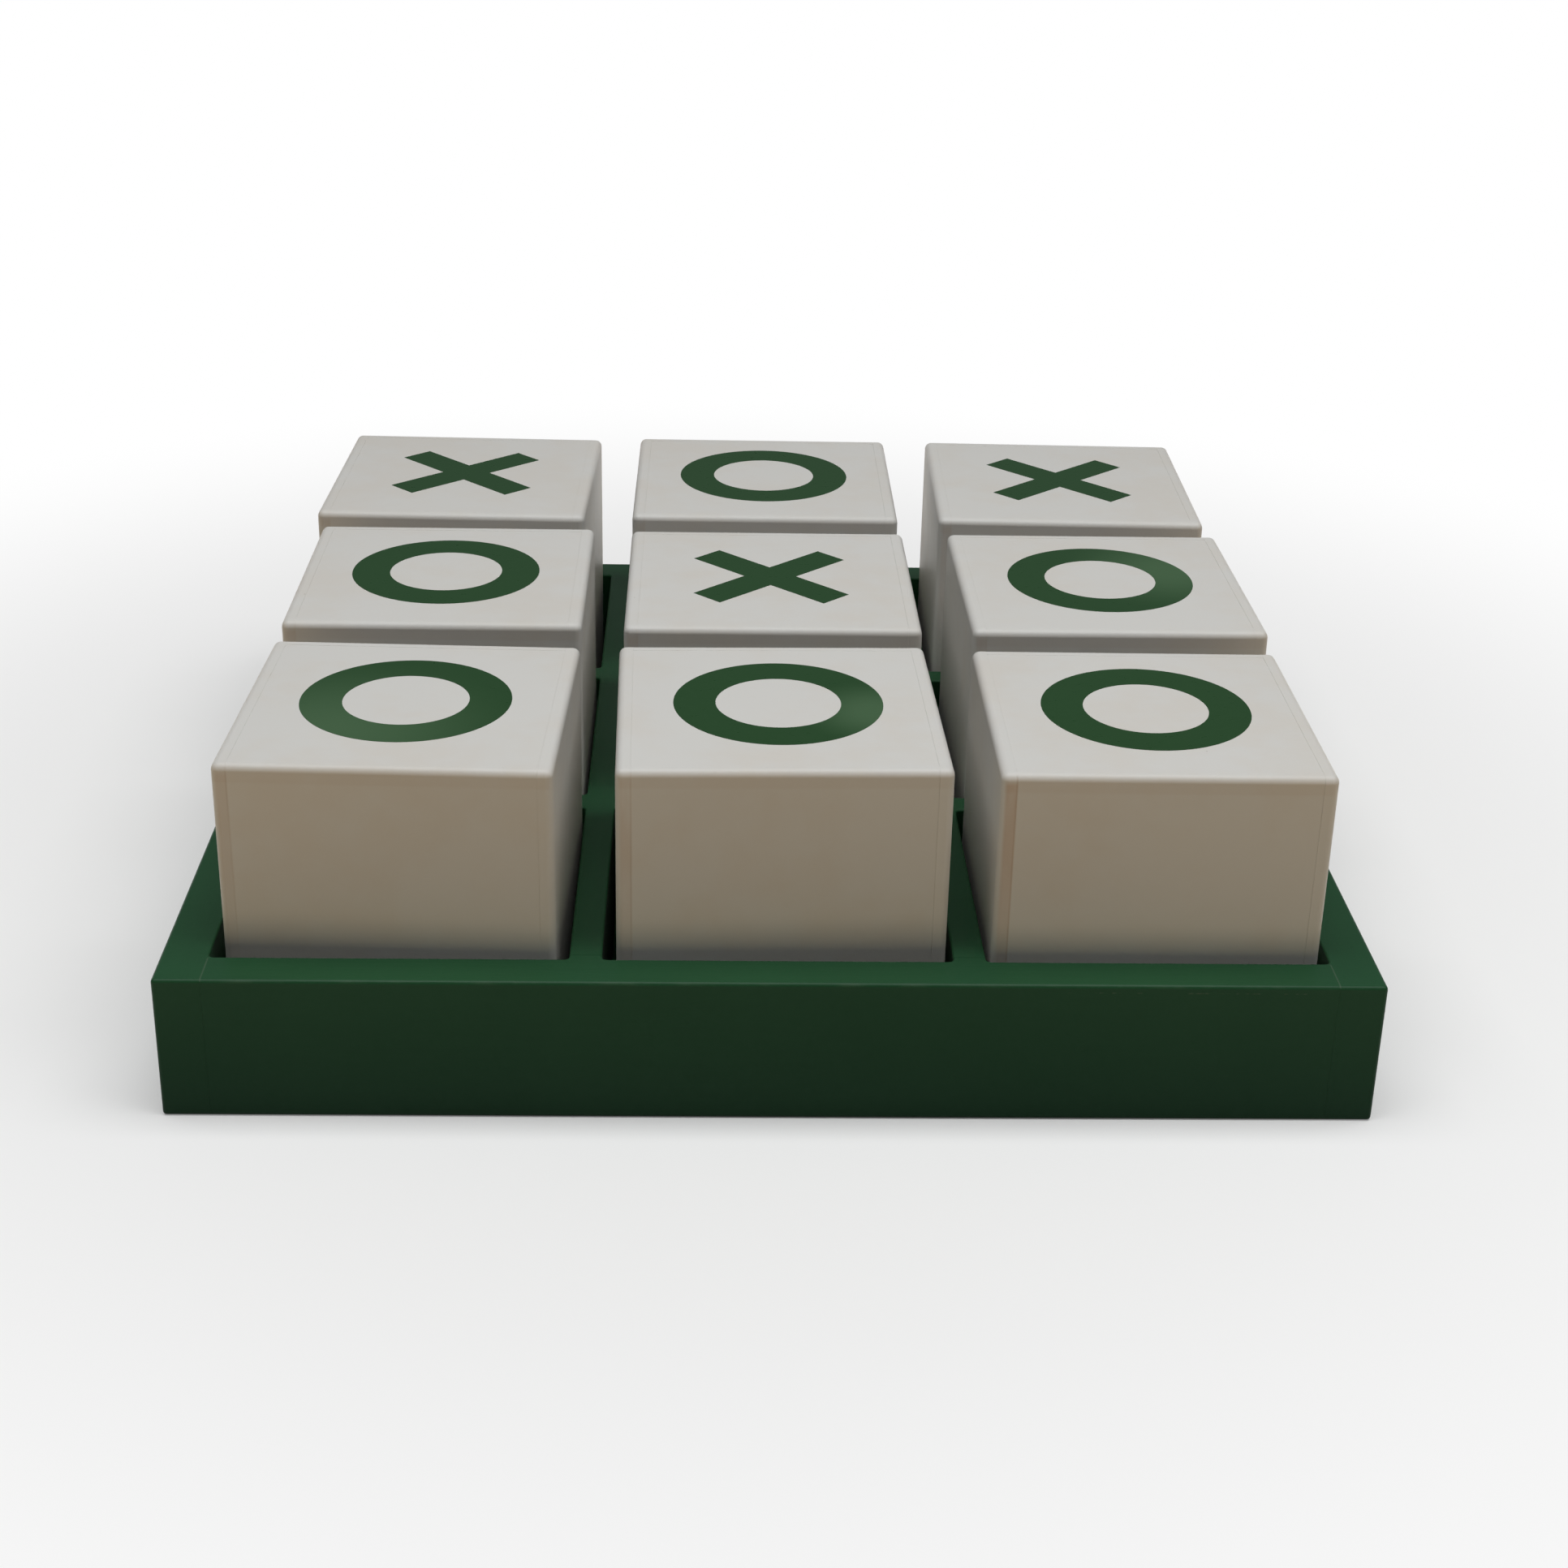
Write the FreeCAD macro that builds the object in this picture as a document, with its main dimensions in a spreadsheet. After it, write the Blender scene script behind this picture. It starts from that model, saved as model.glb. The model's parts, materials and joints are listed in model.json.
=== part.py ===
import FreeCAD, Part

import os

import Sketcher

# Tic tac toe set: a lacquered tray with nine wells, and a hollow block with a mark on its top in each.
# The origin is at the centre of the tray's underside, +Z is up and -Y faces the player.

SIZES = {
    "tray_width": 240.0,
    "tray_depth": 240.0,
    "tray_height": 30.5,
    "rail_thickness": 9.5,
    "divider_thickness": 6.5,
    "dividers_shift_right": 1.0,
    "dividers_shift_back": 1.0,
    "base_thickness": 4.5,
    "rebate_depth": 4.5,
    "housing_depth": 2.5,
    "tray_edge_radius": 0.8,
    "block_size": 65.5,
    "panel_thickness": 3.0,
    "block_edge_radius": 1.6,
    "ring_outer_radius": 21.4,
    "ring_inner_radius": 12.8,
    "cross_bar_length": 41.4,
    "cross_bar_width": 8.4,
    "mark_depth": 0.4,
    "mark_shift": 1.0,
}

# Each block as it was last put down: column, row, mark on top, then how far it stands from
# the middle of its well to the right and to the back, and its turn seen from above, in degrees.
BLOCKS = {
    "front_left": (-1, -1, "ring", 0.9, 0.45, -1.9),
    "front_centre": (0, -1, "ring", 0.1, 0.8, 1.2),
    "front_right": (1, -1, "ring", -0.2, -0.3, -0.2),
    "middle_left": (-1, 0, "ring", 1.6, 0.9, 0.0),
    "middle_centre": (0, 0, "cross", -0.1, -0.1, 0.1),
    "middle_right": (1, 0, "ring", 1.1, 0.2, 0.3),
    "back_left": (-1, 1, "cross", -0.5, 0.2, -1.5),
    "back_centre": (0, 1, "ring", -0.3, 0.9, -0.3),
    "back_right": (1, 1, "cross", 0.6, 0.2, -1.3),
}
OTHER_MARK = {"ring": "cross", "cross": "ring"}

# Expressions on the sheet that several pieces share.
PITCH = "((Sheet.tray_width - 2 * Sheet.rail_thickness + Sheet.divider_thickness) / 3)"
HALF_WIDTH = "(Sheet.tray_width / 2)"
HALF_DEPTH = "(Sheet.tray_depth / 2)"
INNER_X = "(Sheet.tray_width / 2 - Sheet.rail_thickness)"
INNER_Y = "(Sheet.tray_depth / 2 - Sheet.rail_thickness)"
HALF_DIVIDER = "(Sheet.divider_thickness / 2)"
HALF_LAP = "((Sheet.tray_height - Sheet.base_thickness) / 2)"
HALF_BLOCK = "(Sheet.block_size / 2)"
INNER_BLOCK = "(Sheet.block_size / 2 - Sheet.panel_thickness)"

EIGHTH_TURN = 45.0
ON_PLANE = 1e-4
# The least that a recess or a groove removes, in cubic millimetres.
LEAST_CUT = 1.0
# Drawn sizes that an expression on the sheet replaces at once.
DRAWN_SIZE = 10.0
# The origin of a sketch, as its constraints number it.
SKETCH_ORIGIN = (-1, 1)

document = FreeCAD.newDocument("tic_tac_toe_set")
pieces = []


def divider_faces(side, shift):
    """The near and far faces of a divider on one side of the tray's middle, as expressions.

    The four dividers stand a little to the right and to the back of even spacing.
    """
    middle = "%d * %s / 2 + Sheet.%s" % (side, PITCH, shift)
    return "%s - %s" % (middle, HALF_DIVIDER), "%s + %s" % (middle, HALF_DIVIDER)


def well_centre(step, shift):
    """The middle of a well in one direction, as an expression; step is -1, 0 or 1.

    A middle well lies between two shifted dividers, and an outer well between one and a rail.
    """
    share = 1.0 if step == 0 else 0.5
    return "%d * %s + %s * Sheet.%s" % (step, PITCH, share, shift)


def make_sheet():
    """The driving dimensions, in millimetres and degrees."""
    sheet = document.addObject("Spreadsheet::Sheet", "Sheet")
    rows = dict(SIZES)
    for place, (column, row, mark, right, back, turn) in BLOCKS.items():
        rows[place + "_shift_right"] = right
        rows[place + "_shift_back"] = back
        rows[place + "_turn"] = turn
    for index, (alias, value) in enumerate(rows.items(), start=1):
        sheet.set("A%d" % index, alias)
        sheet.set("B%d" % index, str(value))
        sheet.setAlias("B%d" % index, alias)
    document.recompute()


def make_body(label, several_solids=False):
    """An empty body that will become one named piece."""
    body = document.addObject("PartDesign::Body", label)
    body.Label = label
    body.AllowCompound = several_solids
    pieces.append(body)
    return body


def make_sketch(body, height="0", turn=0.0):
    """A sketch parallel to the body's own XY plane, at a height and a turn about +Z."""
    sketch = body.newObject("Sketcher::SketchObject", body.Name + "_sketch")
    plane = next(item for item in body.Origin.OriginFeatures if item.Role == "XY_Plane")
    sketch.AttachmentSupport = [(plane, "")]
    sketch.MapMode = "FlatFace"
    up = FreeCAD.Rotation(FreeCAD.Vector(0, 0, 1), turn)
    sketch.AttachmentOffset = FreeCAD.Placement(FreeCAD.Vector(0, 0, 0), up)
    sketch.setExpression("AttachmentOffset.Base.z", height)
    return sketch


def bind(sketch, kind, point, expression):
    """Hold one coordinate of a sketch point at an expression, measured from the sketch's origin."""
    geometry, end = point
    name = "%s_%d_%d" % (kind, geometry, end)
    index = sketch.addConstraint(
        Sketcher.Constraint(kind, *SKETCH_ORIGIN, geometry, end, DRAWN_SIZE))
    sketch.renameConstraint(index, name)
    sketch.setExpression("Constraints." + name, expression)


def draw_outline(sketch, corners):
    """A closed outline of straight lines through corners, each a pair of expressions."""
    first = sketch.GeometryCount
    count = len(corners)
    for step in range(count):
        start = FreeCAD.Vector(step, step % 2, 0)
        finish = FreeCAD.Vector((step + 1) % count, (step + 1) % 2, 0)
        sketch.addGeometry(Part.LineSegment(start, finish), False)
    for step, (across, along) in enumerate(corners):
        line = first + step
        before = first + (step - 1) % count
        sketch.addConstraint(Sketcher.Constraint("Coincident", before, 2, line, 1))
        bind(sketch, "DistanceX", (line, 1), across)
        bind(sketch, "DistanceY", (line, 1), along)


def draw_rectangle(sketch, left, right, near, far):
    """A rectangle between two X and two Y expressions."""
    draw_outline(sketch, [(left, near), (right, near), (right, far), (left, far)])


def draw_ring(sketch):
    """The O: two circles about one centre."""
    for radius in ("Sheet.ring_outer_radius", "Sheet.ring_inner_radius"):
        circle = sketch.addGeometry(
            Part.Circle(FreeCAD.Vector(0, 0, 0), FreeCAD.Vector(0, 0, 1), DRAWN_SIZE), False)
        bind(sketch, "DistanceX", (circle, 3), "0")
        bind(sketch, "DistanceY", (circle, 3), "Sheet.mark_shift")
        index = sketch.addConstraint(Sketcher.Constraint("Radius", circle, DRAWN_SIZE))
        sketch.renameConstraint(index, "radius_%d" % circle)
        sketch.setExpression("Constraints.radius_%d" % circle, radius)


def draw_cross(sketch):
    """The X before its eighth of a turn: two bars that cross, as one outline."""
    # The sketch is turned an eighth of a turn, so both its axes share the shift to the back.
    shift = "Sheet.mark_shift / sqrt(2)"
    reach = "Sheet.cross_bar_length / 2"
    side = "Sheet.cross_bar_width / 2"
    quarter = [(reach, "-" + side), (reach, side), (side, side)]
    corners = []
    for turn in range(4):
        for across, along in quarter:
            point = (across, along)
            for again in range(turn):
                point = ("-(%s)" % point[1], point[0])
            corners.append(("%s + %s" % (point[0], shift), "%s + %s" % (point[1], shift)))
    draw_outline(sketch, corners)


def make_mark_sketch(body, mark, height):
    """The outline of one mark at a height in the block."""
    if mark == "cross":
        sketch = make_sketch(body, height, EIGHTH_TURN)
        draw_cross(sketch)
    else:
        sketch = make_sketch(body, height)
        draw_ring(sketch)
    return sketch


def add_pad(body, sketch, length):
    """Raise a sketch upwards."""
    pad = body.newObject("PartDesign::Pad", body.Name + "_pad")
    pad.Profile = sketch
    pad.setExpression("Length", length)
    document.recompute()
    return pad


def add_pocket(body, sketch, depth, upwards=True):
    """Cut a sketch out of the body, and make sure that the cut removes something."""
    before = body.Shape.Volume
    pocket = body.newObject("PartDesign::Pocket", body.Name + "_pocket")
    pocket.Profile = sketch
    pocket.Reversed = upwards
    pocket.setExpression("Length", depth)
    document.recompute()
    if body.Shape.Volume >= before - LEAST_CUT:
        raise RuntimeError(body.Label + ": a pocket cut nothing")
    return pocket


def round_outer_edges(body, limits, radius):
    """Round each edge that lies in two of the outer planes; limits is low and high for X, Y, Z."""
    names = []
    tip = body.Tip
    for index, edge in enumerate(tip.Shape.Edges, start=1):
        box = edge.BoundBox
        spans = [(box.XMin, box.XMax), (box.YMin, box.YMax), (box.ZMin, box.ZMax)]
        planes = 0
        for (low, high), outer in zip(spans, limits):
            if high - low < ON_PLANE and min(abs(low - value) for value in outer) < ON_PLANE:
                planes += 1
        if planes == 2:
            names.append("Edge%d" % index)
    fillet = body.newObject("PartDesign::Fillet", body.Name + "_fillet")
    fillet.Base = (tip, names)
    fillet.setExpression("Radius", radius)
    document.recompute()


def round_tray_edges(body):
    """Round a rail along the tray's outer edges."""
    half_width = SIZES["tray_width"] / 2
    half_depth = SIZES["tray_depth"] / 2
    limits = [(-half_width, half_width), (-half_depth, half_depth), (0, SIZES["tray_height"])]
    round_outer_edges(body, limits, "Sheet.tray_edge_radius")


def round_block_edges(body):
    """Round a pair of walls along the block's outer edges."""
    half = SIZES["block_size"] / 2
    limits = [(-half, half), (-half, half), (0, SIZES["block_size"])]
    round_outer_edges(body, limits, "Sheet.block_edge_radius")


def draw_base_outline(sketch):
    """The base panel's outline, which is also the floor of the rebates that hold it."""
    edge_x = "(%s + Sheet.rebate_depth)" % INNER_X
    edge_y = "(%s + Sheet.rebate_depth)" % INNER_Y
    draw_rectangle(sketch, "-" + edge_x, edge_x, "-" + edge_y, edge_y)


def cut_rebate(body):
    """The step along a rail's inner bottom edge that the base panel sits in."""
    sketch = make_sketch(body)
    draw_base_outline(sketch)
    add_pocket(body, sketch, "Sheet.base_thickness")


def cut_housings(body, along_x, side):
    """The two shallow grooves in a rail's inner face that take the dividers' ends."""
    sketch = make_sketch(body)
    inner = INNER_X if along_x else INNER_Y
    face = "%d * %s" % (side, inner)
    floor = "%d * (%s + Sheet.housing_depth)" % (side, inner)
    shift = "dividers_shift_back" if along_x else "dividers_shift_right"
    for sign in (-1, 1):
        low, high = divider_faces(sign, shift)
        if along_x:
            draw_rectangle(sketch, face, floor, low, high)
        else:
            draw_rectangle(sketch, low, high, face, floor)
    add_pocket(body, sketch, "Sheet.tray_height")


def make_rails():
    """Four rails. The side rails run the full depth, and the others stand between them."""
    for label, side in (("front_rail", -1), ("back_rail", 1)):
        body = make_body(label)
        sketch = make_sketch(body)
        inner = "%d * %s" % (side, INNER_Y)
        outer = "%d * %s" % (side, HALF_DEPTH)
        draw_rectangle(sketch, "-" + INNER_X, INNER_X, inner, outer)
        add_pad(body, sketch, "Sheet.tray_height")
        cut_rebate(body)
        cut_housings(body, False, side)
        round_tray_edges(body)
    for label, side in (("left_rail", -1), ("right_rail", 1)):
        body = make_body(label)
        sketch = make_sketch(body)
        inner = "%d * %s" % (side, INNER_X)
        outer = "%d * %s" % (side, HALF_WIDTH)
        draw_rectangle(sketch, inner, outer, "-" + HALF_DEPTH, HALF_DEPTH)
        add_pad(body, sketch, "Sheet.tray_height")
        cut_rebate(body)
        cut_housings(body, True, side)
        round_tray_edges(body)


def make_base_panel():
    """One thin board, flush with the rails' undersides."""
    body = make_body("base_panel")
    sketch = make_sketch(body)
    draw_base_outline(sketch)
    add_pad(body, sketch, "Sheet.base_thickness")


def make_divider(label, side, along_x):
    """A board on edge that crosses the tray, halved where it meets the two that cross it."""
    body = make_body(label)
    sketch = make_sketch(body, "Sheet.base_thickness")
    own_shift, other_shift = "dividers_shift_right", "dividers_shift_back"
    if along_x:
        own_shift, other_shift = other_shift, own_shift
    low, high = divider_faces(side, own_shift)
    if along_x:
        reach = "(%s + Sheet.housing_depth)" % INNER_X
        draw_rectangle(sketch, "-" + reach, reach, low, high)
    else:
        reach = "(%s + Sheet.housing_depth)" % INNER_Y
        draw_rectangle(sketch, low, high, "-" + reach, reach)
    add_pad(body, sketch, "Sheet.tray_height - Sheet.base_thickness")
    # Cross dividers are notched from the top and long dividers from below.
    lap_floor = "Sheet.base_thickness + %s" % HALF_LAP if along_x else "Sheet.base_thickness"
    notches = make_sketch(body, lap_floor)
    for sign in (-1, 1):
        start, finish = divider_faces(sign, other_shift)
        if along_x:
            draw_rectangle(notches, start, finish, low, high)
        else:
            draw_rectangle(notches, low, high, start, finish)
    add_pocket(body, notches, HALF_LAP)


def place_block_piece(body, place, column, row):
    """Put a piece that was drawn about its block's middle into the block's well."""
    body.Placement = FreeCAD.Placement(
        FreeCAD.Vector(0, 0, 0), FreeCAD.Rotation(FreeCAD.Vector(0, 0, 1), 1.0))
    across = well_centre(column, "dividers_shift_right")
    along = well_centre(row, "dividers_shift_back")
    body.setExpression("Placement.Base.x", "%s + Sheet.%s_shift_right" % (across, place))
    body.setExpression("Placement.Base.y", "%s + Sheet.%s_shift_back" % (along, place))
    body.setExpression("Placement.Base.z", "Sheet.base_thickness")
    body.setExpression("Placement.Rotation.Angle", "Sheet.%s_turn" % place)


def make_panel(label, mark, on_top):
    """The block's top or bottom: a square flush between the four walls, with its mark's recess."""
    body = make_body(label)
    floor = "Sheet.block_size - Sheet.panel_thickness" if on_top else "0"
    sketch = make_sketch(body, floor)
    draw_rectangle(sketch, "-" + INNER_BLOCK, INNER_BLOCK, "-" + INNER_BLOCK, INNER_BLOCK)
    add_pad(body, sketch, "Sheet.panel_thickness")
    recess = "Sheet.block_size - Sheet.mark_depth" if on_top else "0"
    add_pocket(body, make_mark_sketch(body, mark, recess), "Sheet.mark_depth")
    return body


def make_walls(label, at_sides):
    """A pair of walls. The side walls cover the ends of the pair between them."""
    body = make_body(label, several_solids=True)
    sketch = make_sketch(body)
    for sign in ("-", ""):
        inner = sign + INNER_BLOCK
        outer = sign + HALF_BLOCK
        if at_sides:
            draw_rectangle(sketch, inner, outer, "-" + HALF_BLOCK, HALF_BLOCK)
        else:
            draw_rectangle(sketch, "-" + INNER_BLOCK, INNER_BLOCK, inner, outer)
    add_pad(body, sketch, "Sheet.block_size")
    round_block_edges(body)
    return body


def make_marks(label, top_mark):
    """The two marks: the one that shows, and the other one on the underside."""
    body = make_body(label, several_solids=True)
    heights = {top_mark: "Sheet.block_size - Sheet.mark_depth", OTHER_MARK[top_mark]: "0"}
    for mark, height in heights.items():
        add_pad(body, make_mark_sketch(body, mark, height), "Sheet.mark_depth")
    return body


def make_block(place, column, row, top_mark):
    """One hollow block of six thin panels."""
    block = place + "_block"
    block_pieces = [
        make_panel(block + "_top_panel", top_mark, True),
        make_panel(block + "_bottom_panel", OTHER_MARK[top_mark], False),
        make_walls(block + "_side_walls", True),
        make_walls(block + "_end_walls", False),
        make_marks(block + "_marks", top_mark),
    ]
    for body in block_pieces:
        place_block_piece(body, place, column, row)


def check_document():
    """Stop if anything failed to build."""
    for item in document.Objects:
        if "Invalid" in item.State or "Error" in item.State:
            raise RuntimeError("%s did not build: %s" % (item.Label, item.State))
    for body in pieces:
        if body.Shape.isNull() or not body.Shape.isValid() or not body.Shape.Solids:
            raise RuntimeError(body.Label + " has no valid solid")


def write_pieces():
    """Write one file for each piece, and list its size and place."""
    os.makedirs("parts", exist_ok=True)
    for body in pieces:
        body.Shape.exportStep(os.path.join("parts", body.Label + ".step"))
        box = body.Shape.BoundBox
        print("%-36s %d solid(s) %9.1f mm3  x %.2f..%.2f  y %.2f..%.2f  z %.2f..%.2f" % (
            body.Label, len(body.Shape.Solids), body.Shape.Volume,
            box.XMin, box.XMax, box.YMin, box.YMax, box.ZMin, box.ZMax))


make_sheet()
make_rails()
make_base_panel()
make_divider("front_cross_divider", -1, True)
make_divider("back_cross_divider", 1, True)
make_divider("left_long_divider", -1, False)
make_divider("right_long_divider", 1, False)
for place, (column, row, top_mark, right, back, turn) in BLOCKS.items():
    make_block(place, column, row, top_mark)
document.recompute()
check_document()
write_pieces()
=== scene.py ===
"""Tic tac toe set: a green lacquered tray with nine wells, and nine hollow cream blocks marked X or O.

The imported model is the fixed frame. The boards of the tray and of the blocks are modelled again here
with rounded edges, lacquer fillets and fine joint lines, and every piece stays where the frame has it.
"""

import json
import math

import bmesh
import bpy
from bpy.props import FloatProperty, FloatVectorProperty, PointerProperty
from mathutils import Matrix, Vector

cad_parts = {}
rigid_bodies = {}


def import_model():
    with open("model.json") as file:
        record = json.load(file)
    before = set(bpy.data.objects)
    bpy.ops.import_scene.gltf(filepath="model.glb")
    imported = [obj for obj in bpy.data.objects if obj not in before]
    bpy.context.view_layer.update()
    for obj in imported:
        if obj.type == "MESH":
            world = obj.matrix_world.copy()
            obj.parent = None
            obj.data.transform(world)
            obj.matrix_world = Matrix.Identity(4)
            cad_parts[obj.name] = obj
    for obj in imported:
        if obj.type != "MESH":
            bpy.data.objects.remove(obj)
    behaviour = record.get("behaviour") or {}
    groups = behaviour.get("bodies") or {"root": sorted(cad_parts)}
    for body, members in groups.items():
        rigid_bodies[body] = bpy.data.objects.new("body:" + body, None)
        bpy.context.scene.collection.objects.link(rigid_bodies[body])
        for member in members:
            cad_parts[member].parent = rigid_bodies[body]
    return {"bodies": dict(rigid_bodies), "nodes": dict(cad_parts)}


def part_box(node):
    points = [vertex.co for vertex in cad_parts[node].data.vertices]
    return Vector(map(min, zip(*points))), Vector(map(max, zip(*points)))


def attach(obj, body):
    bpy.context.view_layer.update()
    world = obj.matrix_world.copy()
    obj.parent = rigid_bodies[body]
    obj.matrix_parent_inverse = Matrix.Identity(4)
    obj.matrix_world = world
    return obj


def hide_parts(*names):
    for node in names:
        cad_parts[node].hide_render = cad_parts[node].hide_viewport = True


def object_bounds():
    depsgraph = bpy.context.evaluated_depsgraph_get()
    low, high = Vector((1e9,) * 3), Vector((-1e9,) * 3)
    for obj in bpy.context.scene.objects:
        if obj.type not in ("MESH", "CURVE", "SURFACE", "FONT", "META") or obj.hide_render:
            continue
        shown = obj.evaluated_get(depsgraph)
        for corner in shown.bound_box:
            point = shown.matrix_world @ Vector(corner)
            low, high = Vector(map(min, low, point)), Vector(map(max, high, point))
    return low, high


bl_info = {
    "name": "Tic Tac Toe Set",
    "version": (1, 0, 0),
    "blender": (4, 5, 0),
    "location": "3D View > Sidebar > Tic Tac Toe",
    "description": "Builds a lacquered tic tac toe tray and its nine marked blocks around their frame",
    "category": "Object",
}

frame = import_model()
CAD_LOW, CAD_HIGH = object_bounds()

MM = 0.001
ALL_AXES = (Vector((1, 0, 0)), Vector((0, 1, 0)), Vector((0, 0, 1)))
LONG_BOARDS = ("left_rail", "left_long_divider", "right_long_divider", "right_rail")
CROSS_BOARDS = ("front_rail", "front_cross_divider", "back_cross_divider", "back_rail")
BLOCKS = sorted(body for body in frame["bodies"] if body.endswith("_block"))
CROSS_ON_TOP = ("back_left_block", "back_right_block", "middle_centre_block")
BLOCK_HEIGHT = (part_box("front_left_block_side_walls")[1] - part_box("front_left_block_side_walls")[0]).z

# How strongly the front left edge of a block shows its board's edge through the lacquer.
EDGE_STAIN = {"front_right_block": 0.72, "front_centre_block": 0.4, "front_left_block": 0.3}
USUAL_EDGE_STAIN = 0.25
# How far a block's front and back walls sit behind the edges of its side walls.
WALL_STEP = {"front_right_block": 0.05 * MM, "front_centre_block": 0.05 * MM}
USUAL_WALL_STEP = 0.01 * MM

# The marks with a patch of painted sheen, paler paint that stands for a reflection on the gloss: block,
# where on the mark from its middle to its right and back, and how far the patch reaches.
SHEEN_PATCH_MARKS = (
    ("front_left_block", -0.6, -0.75, 40 * MM),
    ("front_centre_block", 0.9, -0.2, 17 * MM),
    ("middle_right_block", 0.8, 0.3, 27 * MM),
)

SHARP_ANGLE = math.radians(40)
# A cut stands this far clear of a board's face, and points closer than this count as one place.
CUT_CLEARANCE = 0.001 * MM
SAME_PLACE = 0.001 * MM
QUARTER_TURN = math.radians(90)
WHITE = (1.0, 1.0, 1.0, 1.0)

# How many facets round an edge or a circle.
ROUNDING_STEPS = 4
RIM_STEPS = 3
BLOCK_ROUNDING_STEPS = 6
CIRCLE_STEPS = 128

# How a brushed or drawn pattern is stretched: the share of its detail that is left along each axis.
ALONG_X = (0.09, 1.0, 1.0)
ALONG_Y = (1.0, 0.09, 1.0)
WEAR_RUNS = (0.25, 0.25, 1.0)
UPRIGHT = (1.0, 1.0, 0.05)
UPRIGHT_STREAKS = (1.0, 1.0, 0.3)

# The sockets of a Mix node that carry colours.
MIX_FACTOR, MIX_FIRST, MIX_SECOND, MIX_RESULT = 0, 6, 7, 2

# How strongly each kind of wear, stain or painted sheen shows, from 0 to 1.
RUBBED_EDGE = 0.07
RUBBED_LINE = 0.17
SCRATCH = 0.12
JOINT_LINE = 0.1
WARM_CLOUDS = 0.65
SEAM_STAIN = 0.4
# The strength of the warm line under the blocks' top edges on the front and back.
UNDER_EDGE_LINE = 0.14
DUST = 0.6
# The strength of the painted sheen on the marks: paler paint standing for reflections.
PAINTED_SHEEN = 0.7


def length(name, description, millimetres):
    """A size that a user may change."""
    return FloatProperty(name=name, description=description, default=millimetres * MM, min=0.0,
                         unit="LENGTH", precision=5)


def colour(name, description, default):
    """A colour that a user may change."""
    return FloatVectorProperty(name=name, description=description, default=default, min=0.0, max=1.0,
                               size=3, subtype="COLOR")


def angle(name, description, degrees):
    """An angle that a user may change."""
    return FloatProperty(name=name, description=description, default=math.radians(degrees),
                         subtype="ANGLE")


class TraySizes(bpy.types.PropertyGroup):
    """The tray's edges and lacquer. Its boards' places come from the frame."""

    outer_radius: length("Outer rounding", "Radius along the rails' outer edges", 0.8)
    rim_radius: length("Rim rounding", "Radius along the wells' top edges", 0.45)
    fillet: length("Corner fillet", "Lacquer that fills each upright corner of a well", 1.2)
    joint_chamfer: length("Joint chamfer", "Softened edge on each side of a rail's joint", 0.07)


class BlockSizes(bpy.types.PropertyGroup):
    """A block's boards and marks. Its size and place come from the frame."""

    panel_thickness: length("Board thickness", "Thickness of all six boards of a block", 3.0)
    edge_radius: length("Edge rounding", "Radius along the twelve outer edges of a block", 1.6)
    seam_chamfer: length("Seam chamfer", "Softened edge on each side of a block's seams", 0.03)
    panel_depth: length("Panel depth", "How far the top and bottom panels sit below the walls' edges", 0.04)
    ring_outer: length("O outer radius", "Outer radius of the O", 21.4)
    ring_inner: length("O inner radius", "Inner radius of the O", 12.8)
    bar_length: length("X bar length", "Length of each bar of the X", 41.4)
    bar_width: length("X bar width", "Width of each bar of the X", 8.4)
    mark_depth: length("Mark depth", "Thickness of a mark's paint and its bed", 0.4)
    mark_shift: length("Mark shift", "How far a mark stands behind the middle of its block", 1.0)


class FinishColours(bpy.types.PropertyGroup):
    """The colours of the lacquers and the mark paint."""

    green: colour("Tray green", "The tray's lacquer", (0.0165, 0.073, 0.0285))
    green_deep: colour("Deep green", "Where the tray's lacquer lies thick", (0.0145, 0.065, 0.0255))
    rubbed: colour("Rubbed edge", "Pale ground that shows where the green is rubbed through",
                   (0.34, 0.36, 0.29))
    cream: colour("Block cream", "The blocks' lacquer", (0.66, 0.64, 0.593))
    cream_warm: colour("Warm cream", "Faint warm clouds in the blocks' lacquer", (0.645, 0.6, 0.53))
    edge_brown: colour("Board edge", "Board edge that shows through the cream", (0.53, 0.41, 0.31))
    speck: colour("Speck", "Dust and pin holes in the cream", (0.28, 0.2, 0.15))
    mark_green: colour("Mark green", "The paint of the X and O marks", (0.0175, 0.058, 0.0185))
    # Painted sheen: the paler green of the patches on the marks stands for glossy reflections.
    mark_sheen: colour("Mark sheen", "Where the mark paint is dulled by handling", (0.072, 0.138, 0.068))


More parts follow.
